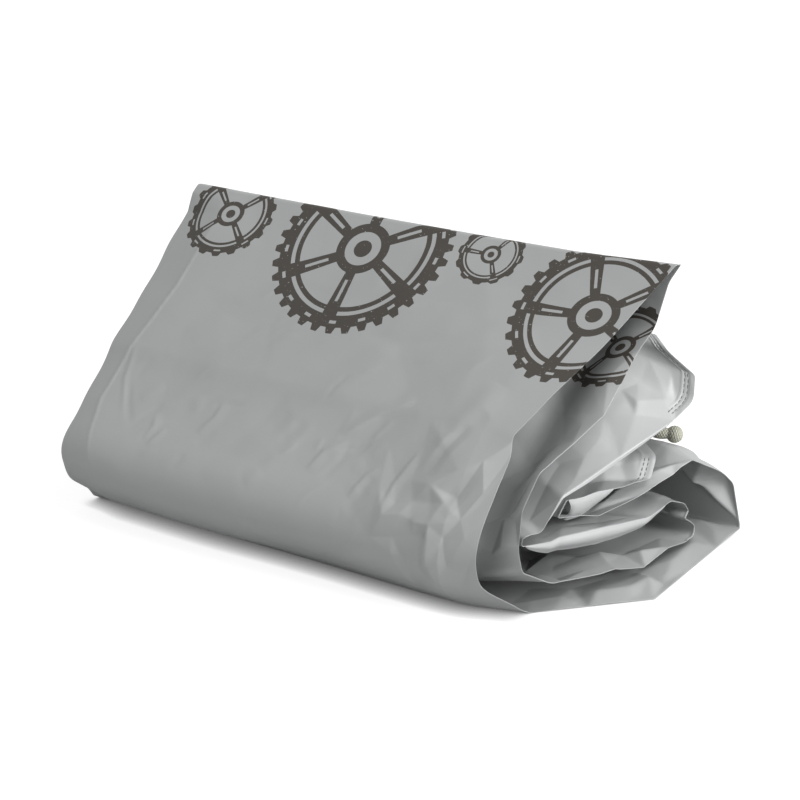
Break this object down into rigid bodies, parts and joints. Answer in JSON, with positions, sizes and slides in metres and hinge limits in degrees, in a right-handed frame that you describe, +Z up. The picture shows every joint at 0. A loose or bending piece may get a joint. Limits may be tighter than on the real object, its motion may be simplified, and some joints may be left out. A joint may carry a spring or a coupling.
{
  "type": "folded bicycle cover",
  "caption": "Weather cover for a bicycle, a long strip of silvery plastic cloth folded back and forth into a loose packet with one open end, with a short end of its elastic hem cord.",
  "frame": {"origin": "middle of the packet on the surface that it lies on", "axes": "+X along the packet towards its open end, +Y from the front face to the rear hump, +Z up"},
  "size_m": [0.37, 0.2256, 0.1907],
  "materials": {
    "plastic_cloth": "satin silver grey plastic film cloth, partly printed in dark brown grey",
    "elastic": "braided elastic cord, matt greenish grey"
  },
  "bodies": {
    "root": {"cover_cloth": "plastic_cloth", "hem_cord": "elastic"}
  },
  "joints": []
}
